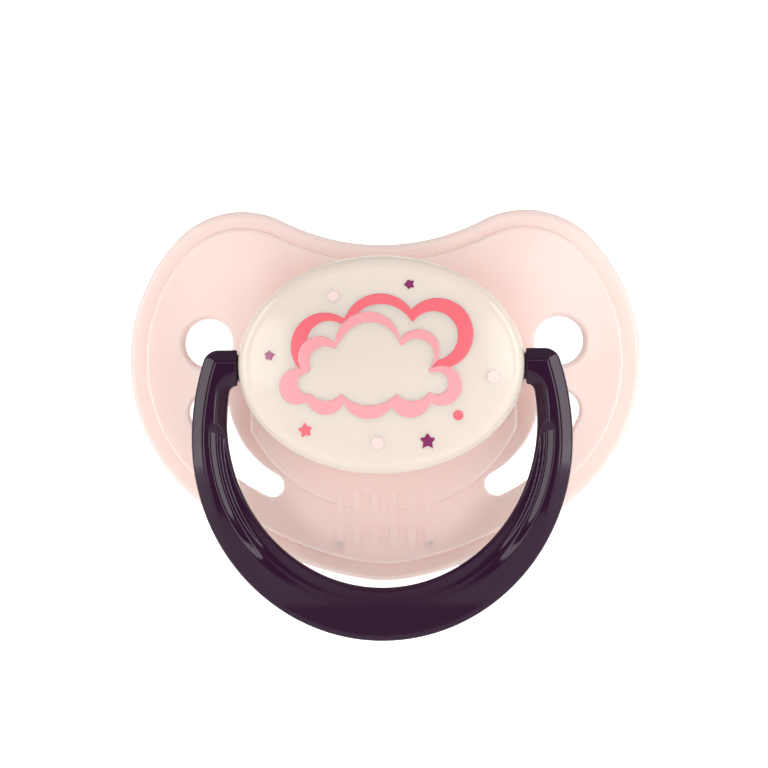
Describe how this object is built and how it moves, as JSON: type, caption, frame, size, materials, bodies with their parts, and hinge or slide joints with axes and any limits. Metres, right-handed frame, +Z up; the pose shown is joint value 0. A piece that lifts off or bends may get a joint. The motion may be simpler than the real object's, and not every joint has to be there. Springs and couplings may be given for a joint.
{
  "type": "pacifier",
  "caption": "Baby's pacifier: vented butterfly shield, hollow orthodontic teat, domed oval knob printed with a cloud, and a ring handle that swings on the knob.",
  "frame": {"origin": "on the teat's axis, at the mouth side of the shield", "axes": "+X to the right seen from the front, +Y out along the teat into the mouth, +Z up"},
  "size_m": [0.05, 0.0412, 0.0419],
  "materials": {
    "shield_plastic": "smooth, slightly see-through pale pink polypropylene",
    "silicone": "clear, smooth silicone rubber",
    "plug_plastic": "plain natural polypropylene",
    "knob_plastic": "glossy milky off-white with a pad-printed cloud",
    "handle_plastic": "glossy aubergine"
  },
  "bodies": {
    "soother": {"shield": "shield_plastic", "teat": "silicone", "teat_plug": "plug_plastic", "knob_base": "knob_plastic", "knob_cap": "knob_plastic"},
    "handle": {"ring_handle": "handle_plastic"}
  },
  "joints": [
    {"name": "handle_swing", "type": "hinge", "parent": "soother", "child": "handle", "pos_m": [0, -0.0062, -0.0002], "axis": [-1, 0, 0], "range_deg": [-13, 200]}
  ]
}
